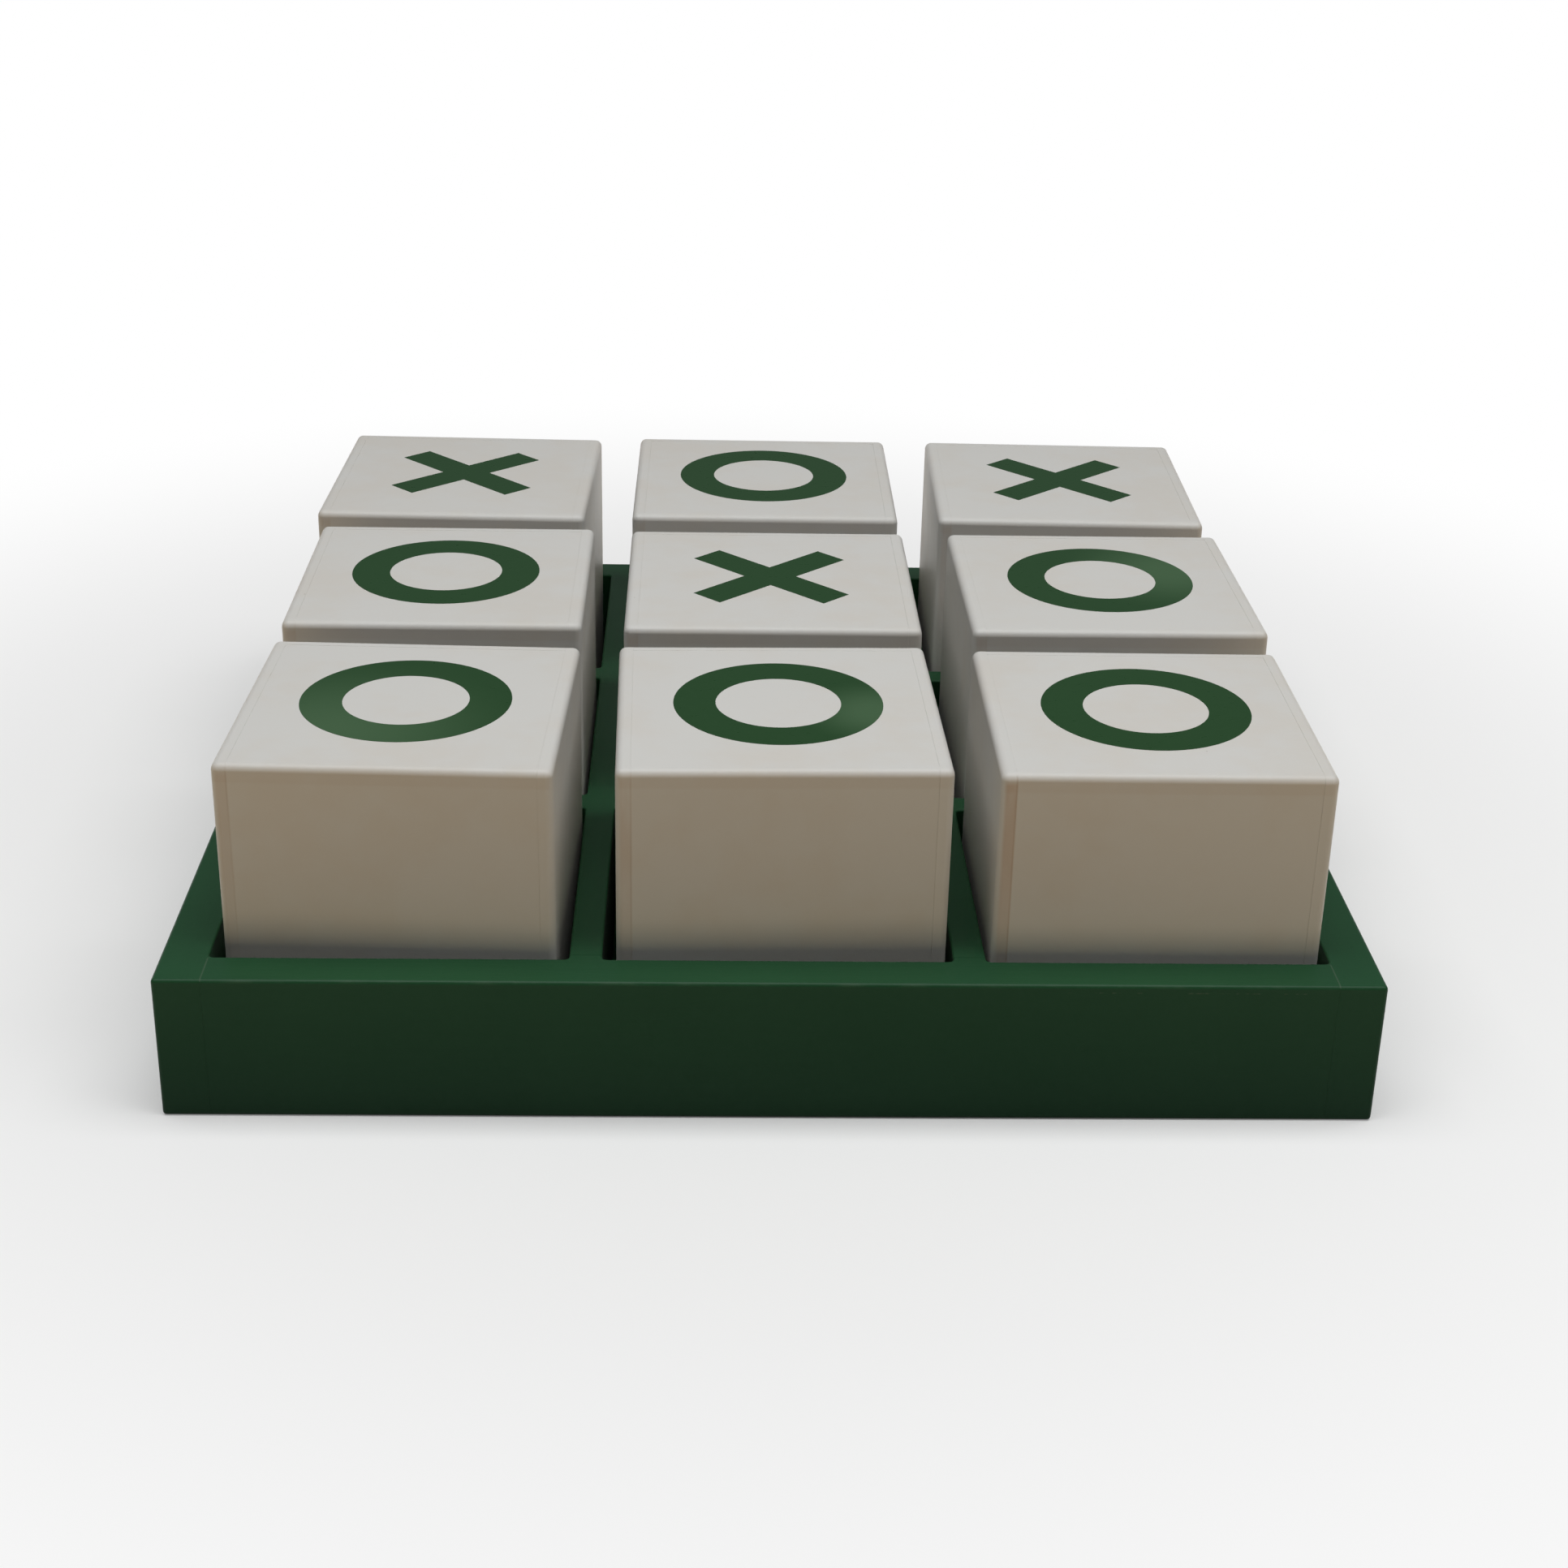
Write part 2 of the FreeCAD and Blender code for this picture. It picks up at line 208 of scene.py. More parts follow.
class StageSettings(bpy.types.PropertyGroup):
    """Floor, lights and camera."""

    floor_colour: colour("Floor", "Colour of the plain floor", (0.93, 0.915, 0.885))
    floor_size: length("Floor size", "Side of the square floor", 12000.0)
    key_width: length("Softbox width", "Width of the softbox above the set", 1400.0)
    key_depth: length("Softbox depth", "Depth of the softbox above the set", 650.0)
    key_height: length("Softbox height", "Height of the softbox above the floor", 1000.0)
    key_forward: length("Softbox offset", "How far in front of the set's middle the softbox hangs", 170.0)
    key_right: length("Softbox shift", "How far to the right of the set's middle the softbox hangs", 100.0)
    key_power: FloatProperty(name="Softbox power", description="Power of the softbox", default=11.8,
                             unit="POWER")
    key_colour: colour("Softbox colour", "Tint of the softbox", (0.95, 0.97, 1.0))
    bounce_length: length("Bounce length", "Length of the low light on each side of the tray", 2200.0)
    bounce_width: length("Bounce width", "Width of the low light on each side of the tray", 900.0)
    bounce_gap: length("Bounce gap", "Distance from the tray to the low lights", 50.0)
    bounce_drop: length("Bounce drop", "How far under the floor the low lights lie", 2.0)
    bounce_power: FloatProperty(name="Bounce power", description="Power of each low light", default=3.45,
                                unit="POWER")
    bounce_colour: colour("Bounce colour", "Warm tint of the low lights", (1.0, 0.77, 0.47))
    panel_behind: length("Panel distance", "How far behind the set the upright panel stands", 1300.0)
    panel_height: length("Panel height", "Height of the upright panel's middle", 600.0)
    panel_power: FloatProperty(name="Panel power", description="Power of the upright panel", default=2.3,
                               unit="POWER")
    glow_start: length("Glow start", "Distance from the set where the floor starts to pale", 60.0)
    glow_end: length("Glow end", "Distance from the set where the floor is plain white", 400.0)
    camera_place: FloatVectorProperty(name="Camera place", description="Where the camera stands",
                                      default=(-13.6 * MM, -546.0 * MM, 268.3 * MM),
                                      subtype="TRANSLATION", unit="LENGTH")
    camera_yaw: angle("Camera yaw", "Turn of the camera about the upright", -1.965)
    camera_pitch: angle("Camera pitch", "How far the camera looks down", 24.61)
    camera_roll: angle("Camera roll", "Turn of the camera about its own line of sight", 1.31)
    lens: FloatProperty(name="Lens", description="Focal length of the camera", default=57.73,
                        unit="CAMERA")


# Materials


class Signal:
    """One socket's value, with the sums and products that a finish is worked out with."""

    def __init__(self, finish, socket):
        self.finish = finish
        self.socket = socket

    def __add__(self, other):
        return self.finish.maths("ADD", self, other)

    def __radd__(self, other):
        return self.finish.maths("ADD", other, self)

    def __sub__(self, other):
        return self.finish.maths("SUBTRACT", self, other)

    def __rsub__(self, other):
        return self.finish.maths("SUBTRACT", other, self)

    def __mul__(self, other):
        return self.finish.maths("MULTIPLY", self, other)

    def __rmul__(self, other):
        return self.finish.maths("MULTIPLY", other, self)

    def __abs__(self):
        return self.finish.maths("ABSOLUTE", self)


class Finish:
    """A material that is built node by node."""

    def __init__(self, name):
        self.material = bpy.data.materials.new(name)
        self.material.use_nodes = True
        self.tree = self.material.node_tree
        self.tree.nodes.clear()

    def node(self, kind, settings=None, sockets=None, output=0):
        """Adds a node: its settings first, then its sockets' values or links. Gives one of its outputs."""
        node = self.tree.nodes.new(kind)
        for name, value in (settings or {}).items():
            setattr(node, name, value)
        for name, value in (sockets or {}).items():
            if isinstance(value, Signal):
                self.tree.links.new(value.socket, node.inputs[name])
            else:
                node.inputs[name].default_value = value
        return Signal(self, node.outputs[output]) if node.outputs else None

    def maths(self, operation, *terms):
        """A Math node."""
        return self.node("ShaderNodeMath", {"operation": operation}, dict(enumerate(terms)))

    def place(self):
        """Where a point is on its piece, in metres."""
        return self.node("ShaderNodeTexCoord", output="Object")

    def attribute(self, name, output):
        """What the mesh says of a point."""
        return self.node("ShaderNodeAttribute", {"attribute_name": name}, output=output)

    def axes(self, vector):
        """The X, Y and Z of a vector."""
        return [self.node("ShaderNodeSeparateXYZ", None, {"Vector": vector}, output=axis) for axis in "XYZ"]

    def stretched(self, vector, scale):
        """A vector with its axes scaled."""
        return self.node("ShaderNodeVectorMath", {"operation": "MULTIPLY"}, {0: vector, 1: scale})

    def cloud(self, vector, size, detail=2.0):
        """Noise from 0 to 1 with clouds of about the given size."""
        sockets = {"Vector": vector, "Scale": 1.0 / size, "Detail": detail}
        return self.node("ShaderNodeTexNoise", None, sockets, output="Fac")

    def rise(self, value, start, end):
        """0 below start, 1 above end and a smooth rise between them."""
        sockets = {"Value": value, "From Min": start, "From Max": end}
        return self.node("ShaderNodeMapRange", {"interpolation_type": "SMOOTHSTEP"}, sockets)

    def between(self, value, low, high, soft):
        """1 from low to high, and 0 outside, with soft ends."""
        return self.rise(value, low - soft, low) * (1 - self.rise(value, high, high + soft))

    def blend(self, factor, first, second):
        """A colour between two others."""
        sockets = {MIX_FACTOR: factor, MIX_FIRST: first, MIX_SECOND: second}
        return self.node("ShaderNodeMix", {"data_type": "RGBA"}, sockets, output=MIX_RESULT)

    def lacquer(self, colour, roughness, height, depth, specular):
        """A lacquered surface: what varies is linked, and the specular level is set on the shader."""
        relief = {"Height": height, "Strength": 1.0, "Distance": depth}
        sockets = {"Specular IOR Level": specular, "Base Color": colour, "Roughness": roughness}
        sockets["Normal"] = self.node("ShaderNodeBump", None, relief)
        shader = self.node("ShaderNodeBsdfPrincipled", None, sockets)
        self.node("ShaderNodeOutputMaterial", None, {"Surface": shader})
        return self.material


def rgba(colour):
    """A property's colour with full alpha."""
    return (*colour, 1.0)


def green_lacquer(name, along_x):
    """The tray's lacquer, brushed along a board, with its outer top edges rubbed."""
    material = bpy.data.materials.get(name)
    if material:
        return material
    colours = bpy.context.scene.tic_tac_toe_colours
    finish = Finish(name)
    place = finish.place()
    x, y, z = finish.axes(place)
    brushed = finish.stretched(place, ALONG_X if along_x else ALONG_Y)
    strokes = finish.cloud(brushed, 1.6 * MM, detail=3.0)
    clouds = finish.cloud(place, 45 * MM, detail=4.0)
    depth = finish.rise(clouds + strokes * 0.22, 0.42, 0.78)
    colour = finish.blend(depth, rgba(colours.green), rgba(colours.green_deep))

    # The rounded outer top edges are rubbed here and there.
    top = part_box("front_rail")[1].z
    across = abs(y) if along_x else abs(x)
    along = x if along_x else y
    half = -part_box("front_rail")[0].y
    outer_edge = finish.rise(across, half - 0.75 * MM, half - 0.1 * MM)
    outer_edge = outer_edge * finish.rise(z, top - 0.9 * MM, top - 0.2 * MM)
    worn_along = finish.cloud(finish.stretched(place, WEAR_RUNS), 3.0 * MM, detail=3.0)
    edge_wear = outer_edge * finish.rise(worn_along, 0.46, 0.66) * RUBBED_EDGE
    # A thin line just under each outer edge is rubbed through in dashes towards one end.
    line = finish.between(z, top - 1.66 * MM, top - 1.54 * MM, 0.1 * MM)
    line = line * finish.rise(across, half - 0.3 * MM, half - 0.1 * MM)
    flecks = finish.cloud(finish.stretched(place, UPRIGHT), 1.9 * MM, detail=4.0)
    line = line * finish.rise(flecks, 0.5, 0.7) * finish.rise(along, 50 * MM, 66 * MM) * RUBBED_LINE
    # A faint upright scratch lies near the same end of each outer face.
    scratch = finish.between(along, half - 2.05 * MM, half - 1.9 * MM, 0.15 * MM)
    scratch = scratch * finish.between(z, 12 * MM, 23 * MM, 2 * MM) * SCRATCH
    # The side rails' joints with the front and back rails show on the top as fine pale lines.
    inner = half - (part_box("left_rail")[1].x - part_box("left_rail")[0].x)
    joint = finish.between(abs(x), inner - 0.1 * MM, inner + 0.1 * MM, 0.1 * MM)
    joint = joint * finish.rise(abs(y), inner, inner + 1 * MM)
    joint = joint * finish.rise(z, top - 0.5 * MM, top - 0.2 * MM) * JOINT_LINE
    worn = finish.maths("MINIMUM", edge_wear + line + scratch + joint, 1.0)
    colour = finish.blend(worn, colour, rgba(colours.rubbed))

    peel = finish.cloud(place, 1.1 * MM, detail=2.0)
    grain = finish.cloud(brushed, 0.7 * MM, detail=3.0)
    roughness = 0.34 + clouds * 0.14 + worn * 0.3
    relief = peel * 0.6 + grain
    return finish.lacquer(colour, roughness, relief, depth=0.02 * MM, specular=0.15)


def cream_lacquer():
    """The blocks' lacquer: faint clouds, board edges that show through, a warm line under the top edges and
    specks.
    """
    material = bpy.data.materials.get("block_finish")
    if material:
        return material
    colours = bpy.context.scene.tic_tac_toe_colours
    sizes = bpy.context.scene.tic_tac_toe_block
    half = BLOCK_HEIGHT / 2
    finish = Finish("block_finish")
    place = finish.place()
    x, y, z = finish.axes(finish.attribute("own_place", "Vector"))
    stain = finish.attribute("edge_stain", "Fac")

    clouds = finish.cloud(place, 30 * MM, detail=4.0)
    blotches = finish.cloud(place, 7 * MM, detail=5.0)
    warm = finish.rise(clouds + blotches * 0.5, 0.62, 0.98) * WARM_CLOUDS
    colour = finish.blend(warm, rgba(colours.cream), rgba(colours.cream_warm))

    # The side walls' edges show on the front and back as strips that soften towards the walls between.
    uneven = finish.cloud(finish.stretched(place, UPRIGHT_STREAKS), 6 * MM, detail=3.0)
    on_end = finish.rise(abs(y), half - 0.5 * MM, half - 0.25 * MM)
    reach = half - sizes.panel_thickness
    strip = finish.between(-1 * x, reach + 0.3 * MM, half - 1.3 * MM, 0.8 * MM)
    seam = finish.between(-1 * x, reach - 0.1 * MM, reach + 0.1 * MM, 0.15 * MM)
    lower = 0.45 + 0.55 * finish.rise(z, 24 * MM, 52 * MM)
    lower = lower * (1 - finish.rise(z, BLOCK_HEIGHT - 2.6 * MM, BLOCK_HEIGHT - 1.2 * MM))
    strip = strip * on_end * lower * finish.rise(uneven, 0.2, 0.55)
    seam = seam * on_end * SEAM_STAIN
    # A warm brown line is blended in under each rounded top edge of the front and back.
    under_edge = finish.between(z, BLOCK_HEIGHT - 3.4 * MM, BLOCK_HEIGHT - 1.5 * MM, 0.8 * MM)
    under_edge = under_edge * UNDER_EDGE_LINE
    brown = finish.maths("MINIMUM", strip * stain + seam * stain + under_edge * on_end, 1.0)
    colour = finish.blend(brown, colour, rgba(colours.edge_brown))

    # Specks of dust lie scattered in a few patches.
    sockets = {"Vector": place, "Scale": 1.0 / (6.5 * MM), "Randomness": 1.0}
    to_dust = finish.node("ShaderNodeTexVoronoi", {"feature": "F1"}, sockets, output="Distance")
    chance = finish.rise(finish.cloud(place, 11 * MM, detail=1.0), 0.62, 0.66)
    dust = (1 - finish.rise(to_dust, 0.018, 0.034)) * chance * DUST
    colour = finish.blend(dust, colour, rgba(colours.speck))

    peel = finish.cloud(place, 1.4 * MM, detail=2.0)
    waves = finish.cloud(place, 9 * MM, detail=1.0)
    roughness = 0.36 + blotches * 0.12
    relief = peel + waves * 2.0 - dust * 2.0
    return finish.lacquer(colour, roughness, relief, depth=0.015 * MM, specular=0.35)


def mark_paint():
    """The green paint of the marks, with patches of painted sheen: paler paint that stands for glossy
    reflections, and rougher there as well.
    """
    material = bpy.data.materials.get("mark_finish")
    if material:
        return material
    colours = bpy.context.scene.tic_tac_toe_colours
    finish = Finish("mark_finish")
    place = finish.place()
    patches = 0.0
    # Each patch is painted sheen, a paler spot where a reflection on the glossy paint would be.
    for block, right, back, patch in SHEEN_PATCH_MARKS:
        low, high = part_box(block + "_marks")
        middle, reach = (low + high) / 2, (high - low) / 2
        spot = Vector((middle.x + right * reach.x, middle.y + back * reach.y, high.z))
        sockets = {0: place, 1: spot}
        distance = finish.node("ShaderNodeVectorMath", {"operation": "DISTANCE"}, sockets, output="Value")
        patches = patches + (1 - finish.rise(distance, 2 * MM, patch))
    fine = finish.cloud(place, 2.2 * MM, detail=4.0)
    # The patches pale the paint as painted sheen; the fine clouds are the paint's own uneven tone.
    pale = patches * PAINTED_SHEEN + fine * 0.08
    colour = finish.blend(pale, rgba(colours.mark_green), rgba(colours.mark_sheen))
    roughness = 0.24 + fine * 0.1 + patches * 0.12
    peel = finish.cloud(place, 1.0 * MM, detail=2.0)
    return finish.lacquer(colour, roughness, peel, depth=0.004 * MM, specular=0.04)


# Mesh work shared by the pieces


def make_piece(node, body, bm, material):
    """Turns a mesh into the piece that stands for one node of the frame."""
    for face in bm.faces:
        face.smooth = True
    for edge in bm.edges:
        edge.smooth = edge.is_manifold and edge.calc_face_angle() < SHARP_ANGLE
    mesh = bpy.data.meshes.new(node + "_finished")
    bm.to_mesh(mesh)
    bm.free()
    mesh.materials.append(material)
    piece = bpy.data.objects.new(node + "_finished", mesh)
    bpy.context.scene.collection.objects.link(piece)
    normals = piece.modifiers.new("Even normals", "WEIGHTED_NORMAL")
    normals.keep_sharp = True
    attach(piece, body)
    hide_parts(node)
    return piece


def everything(bm):
    """All the geometry of a mesh."""
    return bm.verts[:] + bm.edges[:] + bm.faces[:]


def moved_vertices(result):
    """The new vertices of an extrusion."""
    return [item for item in result["geom"] if isinstance(item, bmesh.types.BMVert)]


def add_part(bm, part):
    """Adds another mesh to a mesh, and frees the other."""
    passing = bpy.data.meshes.new("passing")
    part.to_mesh(passing)
    part.free()
    bm.from_mesh(passing)
    bpy.data.meshes.remove(passing)


def bevel(bm, edges, radius, segments):
    """Rounds or chamfers edges."""
    bmesh.ops.bevel(bm, geom=edges, offset=radius, offset_type="OFFSET", segments=segments,
                    profile=0.5, affect="EDGES", material=-1, clamp_overlap=True)


def lies_on(edge, axis, value):
    """True if both ends of an edge have the same given place on an axis."""
    return all(abs(vertex.co[axis] - value) < SAME_PLACE for vertex in edge.verts)


def outer_sides(edge, low, high):
    """How many sides of a box an edge lies on."""
    return sum(lies_on(edge, axis, corner[axis]) for axis in range(3) for corner in (low, high))


def board(bm, low, high):
    """Adds a rectangular board between two corners."""
    size = high - low
    place = Matrix.Translation((low + high) / 2) @ Matrix.Diagonal((*size, 1.0))
    bmesh.ops.create_cube(bm, size=1.0, matrix=place)


# The tray


def board_lines(nodes, axis):
    """Where the faces of the given boards lie along an axis, low to high."""
    return [corner[axis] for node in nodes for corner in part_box(node)]


def inside_any(value, spans):
    """True if a value lies inside one of some spans."""
    return any(start < value < end for start, end in spans)


def well_spans(lines):
    """The gaps between boards, from the lines of the boards' faces."""
    return list(zip(lines[1:-1:2], lines[2:-1:2]))


def tray_whole(sizes):
    """The rails and dividers in one mesh, with rounded edges and lacquer in the wells' corners."""
    x_lines = board_lines(LONG_BOARDS, 0)
    y_lines = board_lines(CROSS_BOARDS, 1)
    base_low, base_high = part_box("base_panel")
    low = Vector((x_lines[0], y_lines[0], base_low.z))
    high = Vector((x_lines[-1], y_lines[-1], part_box("front_rail")[1].z))
    middle = (low + high) / 2

    bm = bmesh.new()
    top_place = Matrix.Translation((middle.x, middle.y, high.z))
    top_size = Matrix.Diagonal((*(high - low).xy, 1, 1))
    bmesh.ops.create_grid(bm, x_segments=1, y_segments=1, size=0.5, matrix=top_place @ top_size)
    for axis, lines in ((0, x_lines), (1, y_lines)):
        for line in sorted(lines[1:-1] + [base_low[axis], base_high[axis]]):
            bmesh.ops.bisect_plane(bm, geom=everything(bm), plane_co=ALL_AXES[axis] * line,
                                   plane_no=ALL_AXES[axis])
    x_spans, y_spans = well_spans(x_lines), well_spans(y_lines)
    openings = []
    for face in bm.faces:
        centre = face.calc_center_median()
        if inside_any(centre.x, x_spans) and inside_any(centre.y, y_spans):
            openings.append(face)
    bmesh.ops.delete(bm, geom=openings, context="FACES")

    result = bmesh.ops.extrude_face_region(bm, geom=bm.faces[:])
    under = [item for item in result["geom"] if isinstance(item, bmesh.types.BMFace)]
    bmesh.ops.translate(bm, verts=moved_vertices(result), vec=(0, 0, base_high.z - high.z))
    feet = []
    for face in under:
        centre = face.calc_center_median()
        over_base = base_low.x < centre.x < base_high.x and base_low.y < centre.y < base_high.y
        if not over_base:
            feet.append(face)
    result = bmesh.ops.extrude_face_region(bm, geom=feet)
    bmesh.ops.translate(bm, verts=moved_vertices(result), vec=(0, 0, base_low.z - base_high.z))
    bmesh.ops.delete(bm, geom=feet, context="FACES")
    bmesh.ops.recalc_face_normals(bm, faces=bm.faces[:])

    corners = []
    for edge in bm.edges:
        upright = abs(edge.verts[0].co.z - edge.verts[1].co.z) > base_high.z
        if upright and outer_sides(edge, low, high) == 0:
            corners.append(edge)
    bevel(bm, corners, sizes.fillet, ROUNDING_STEPS)
    outer = [edge for edge in bm.edges if outer_sides(edge, low, high) == 2]
    bevel(bm, outer, sizes.outer_radius, ROUNDING_STEPS)
    rims = []
    for edge in bm.edges:
        if lies_on(edge, 2, high.z) and edge.is_manifold and edge.calc_face_angle() > SHARP_ANGLE:
            rims.append(edge)
    bevel(bm, rims, sizes.rim_radius, RIM_STEPS)
    return bm


def cut_out(whole, low, high, chamfer=0.0):
    """The part of a mesh between two corners, closed where it was cut, with the cuts' edges chamfered."""
    part = whole.copy()
    for axis in range(3):
        for corner, side in ((low, -1), (high, 1)):
            if corner[axis] is None:
                continue
            cut = bmesh.ops.bisect_plane(part, geom=everything(part), dist=CUT_CLEARANCE / 100,
                                         plane_co=ALL_AXES[axis] * corner[axis],
                                         plane_no=ALL_AXES[axis] * side, clear_outer=True)
            loops = [item for item in cut["geom_cut"] if isinstance(item, bmesh.types.BMEdge)]
            open_edges = [edge for edge in loops if edge.is_boundary]
            bmesh.ops.holes_fill(part, edges=open_edges, sides=0)
            if chamfer:
                bevel(part, [edge for edge in loops if edge.is_valid], chamfer, 1)
    bmesh.ops.remove_doubles(part, verts=part.verts[:], dist=2 * CUT_CLEARANCE)
    bmesh.ops.dissolve_degenerate(part, edges=part.edges[:], dist=CUT_CLEARANCE)
    bmesh.ops.recalc_face_normals(part, faces=part.faces[:])
    return part


def tray_piece(node, bm, along_x):
    """Finishes one board of the tray."""
    name = "tray_finish_across" if along_x else "tray_finish_along"
    return make_piece(node, "tray", bm, green_lacquer(name, along_x))


class TICTACTOE_OT_rails(bpy.types.Operator):
    """Builds the four rails, with the side rails running the full depth"""

    bl_idname = "tic_tac_toe.rails"
    bl_label = "Build the tray's rails"

    def execute(self, context):
        sizes = context.scene.tic_tac_toe_tray
        whole = tray_whole(sizes)
        inner_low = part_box("left_rail")[1].x + CUT_CLEARANCE
        inner_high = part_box("right_rail")[0].x - CUT_CLEARANCE
        flare = sizes.fillet + sizes.rim_radius
        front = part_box("front_rail")[1].y + flare
        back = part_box("back_rail")[0].y - flare
        chamfer = sizes.joint_chamfer
        cuts = {
            "left_rail": ((None, None, None), (inner_low, None, None)),
            "right_rail": ((inner_high, None, None), (None, None, None)),
            "front_rail": ((inner_low, None, None), (inner_high, front, None)),
            "back_rail": ((inner_low, back, None), (inner_high, None, None)),
        }
        for node, (low, high) in cuts.items():
            tray_piece(node, cut_out(whole, low, high, chamfer), node in CROSS_BOARDS)
        whole.free()
        return {"FINISHED"}


class TICTACTOE_OT_dividers(bpy.types.Operator):
    """Builds the two long dividers and the two cross dividers between the rails"""

    bl_idname = "tic_tac_toe.dividers"
    bl_label = "Build the tray's dividers"

    def execute(self, context):
        sizes = context.scene.tic_tac_toe_tray
        whole = tray_whole(sizes)
        flare = sizes.fillet + sizes.rim_radius
        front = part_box("front_rail")[1].y + flare
        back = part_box("back_rail")[0].y - flare
        spans = {}
        for node in ("left_long_divider", "right_long_divider"):
            low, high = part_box(node)
            spans[node] = (low.x - flare, high.x + flare)
            part = cut_out(whole, (spans[node][0], front, None), (spans[node][1], back, None))
            tray_piece(node, part, False)
        left, right = spans["left_long_divider"], spans["right_long_divider"]
        inner_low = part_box("left_rail")[1].x + CUT_CLEARANCE
        inner_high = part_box("right_rail")[0].x - CUT_CLEARANCE
        gaps = ((inner_low, left[0]), (left[1], right[0]), (right[1], inner_high))
        for node in ("front_cross_divider", "back_cross_divider"):
            low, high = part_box(node)
            joined = bmesh.new()
            for start, end in gaps:
                near, far = (start, low.y - flare, None), (end, high.y + flare, None)
                add_part(joined, cut_out(whole, near, far))
            tray_piece(node, joined, True)
        whole.free()
        return {"FINISHED"}


class TICTACTOE_OT_base_panel(bpy.types.Operator):
    """Lacquers the base panel that the frame brings"""

    bl_idname = "tic_tac_toe.base_panel"
    bl_label = "Finish the base panel"

    def execute(self, context):
        panel = frame["nodes"]["base_panel"]
        panel.data.materials.clear()
        panel.data.materials.append(green_lacquer("tray_finish_along", False))
        return {"FINISHED"}


# The blocks


def block_place(block):
    """Where a block stands in its well, from its walls and from its top panel's back right corner."""
    low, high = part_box(block + "_side_walls")
    centre = (low + high) / 2
    vertices = frame["nodes"][block + "_top_panel"].data.vertices
    corner = max((vertex.co - centre for vertex in vertices), key=lambda place: place.x + place.y)
    turn = math.atan2(corner.y, corner.x) - QUARTER_TURN / 2
    return Matrix.Translation((centre.x, centre.y, low.z)) @ Matrix.Rotation(turn, 4, "Z")


def block_corners():
    """The lowest and highest corner of a block in its own frame."""
    half = BLOCK_HEIGHT / 2
    return Vector((-half, -half, 0.0)), Vector((half, half, BLOCK_HEIGHT))


def depth_inside(vertex):
    """How deep a point lies inside a block."""
    low, high = block_corners()
    return min(min(vertex.co[axis] - low[axis], high[axis] - vertex.co[axis]) for axis in range(3))


def round_boards(bm, sizes):
    """Rounds a block's outer edges where its boards reach them, and softens the seams between boards."""
    low, high = block_corners()
    outer = [edge for edge in bm.edges if outer_sides(edge, low, high) == 2]
    bevel(bm, outer, sizes.edge_radius, BLOCK_ROUNDING_STEPS)
    seams = []
    for edge in bm.edges:
        shallow = all(depth_inside(vertex) < sizes.edge_radius / 2 for vertex in edge.verts)
        if shallow and edge.calc_face_angle() > SHARP_ANGLE:
            seams.append(edge)
    bevel(bm, seams, sizes.seam_chamfer, 1)


def block_piece(block, part, bm, material):
    """Finishes one piece of a block: notes its own place and stain, and puts it in its well."""
    own_place = bm.verts.layers.float_vector.new("own_place")
    edge_stain = bm.verts.layers.float.new("edge_stain")
    for vertex in bm.verts:
        vertex[own_place] = vertex.co
        vertex[edge_stain] = EDGE_STAIN.get(block, USUAL_EDGE_STAIN)
    bmesh.ops.transform(bm, matrix=block_place(block), verts=bm.verts[:])
    return make_piece(block + "_" + part, block, bm, material)


class TICTACTOE_OT_block_walls(bpy.types.Operator):
    """Builds each block's side walls, which run the full depth, and the end walls between them"""

    bl_idname = "tic_tac_toe.block_walls"
    bl_label = "Build the blocks' walls"

    def execute(self, context):
        sizes = context.scene.tic_tac_toe_block
        low, high = block_corners()
        thickness = sizes.panel_thickness
        material = cream_lacquer()
        for block in BLOCKS:
            sides = bmesh.new()
            board(sides, low, Vector((low.x + thickness, high.y, high.z)))
            board(sides, Vector((high.x - thickness, low.y, low.z)), high)
            round_boards(sides, sizes)
            block_piece(block, "side_walls", sides, material)

            ends = bmesh.new()
            inner_low = Vector((low.x + thickness, low.y, low.z))
            inner_high = Vector((high.x - thickness, high.y, high.z))
            board(ends, inner_low, Vector((inner_high.x, low.y + thickness, high.z)))
            board(ends, Vector((inner_low.x, high.y - thickness, low.z)), inner_high)
            round_boards(ends, sizes)
            step = WALL_STEP.get(block, USUAL_WALL_STEP)
            for vertex in ends.verts:
                vertex.co.y -= math.copysign(step, vertex.co.y)
            block_piece(block, "end_walls", ends, material)
        return {"FINISHED"}


class TICTACTOE_OT_block_panels(bpy.types.Operator):
    """Builds each block's top and bottom panels, which sit between its walls"""

    bl_idname = "tic_tac_toe.block_panels"
    bl_label = "Build the blocks' panels"

    def execute(self, context):
        sizes = context.scene.tic_tac_toe_block
        low, high = block_corners()
        thickness = sizes.panel_thickness
        inset = Vector((thickness, thickness, 0.0))
        sunk = Vector((0.0, 0.0, sizes.panel_depth))
        material = cream_lacquer()
        for block in BLOCKS:
            top = bmesh.new()
            board(top, Vector((low.x, low.y, high.z - thickness)) + inset, high - inset - sunk)
            round_boards(top, sizes)
            block_piece(block, "top_panel", top, material)
            bottom = bmesh.new()
            board(bottom, low + inset + sunk, Vector((high.x, high.y, low.z + thickness)) - inset)
            round_boards(bottom, sizes)
            block_piece(block, "bottom_panel", bottom, material)
        return {"FINISHED"}


def draw_ring(bm, sizes):
    """The flat face of an O."""
    edges = []
    for radius in (sizes.ring_outer, sizes.ring_inner):
        circle = bmesh.ops.create_circle(bm, cap_ends=False, radius=radius, segments=CIRCLE_STEPS)
        edges += {edge for vertex in circle["verts"] for edge in vertex.link_edges}
    bmesh.ops.bridge_loops(bm, edges=edges)


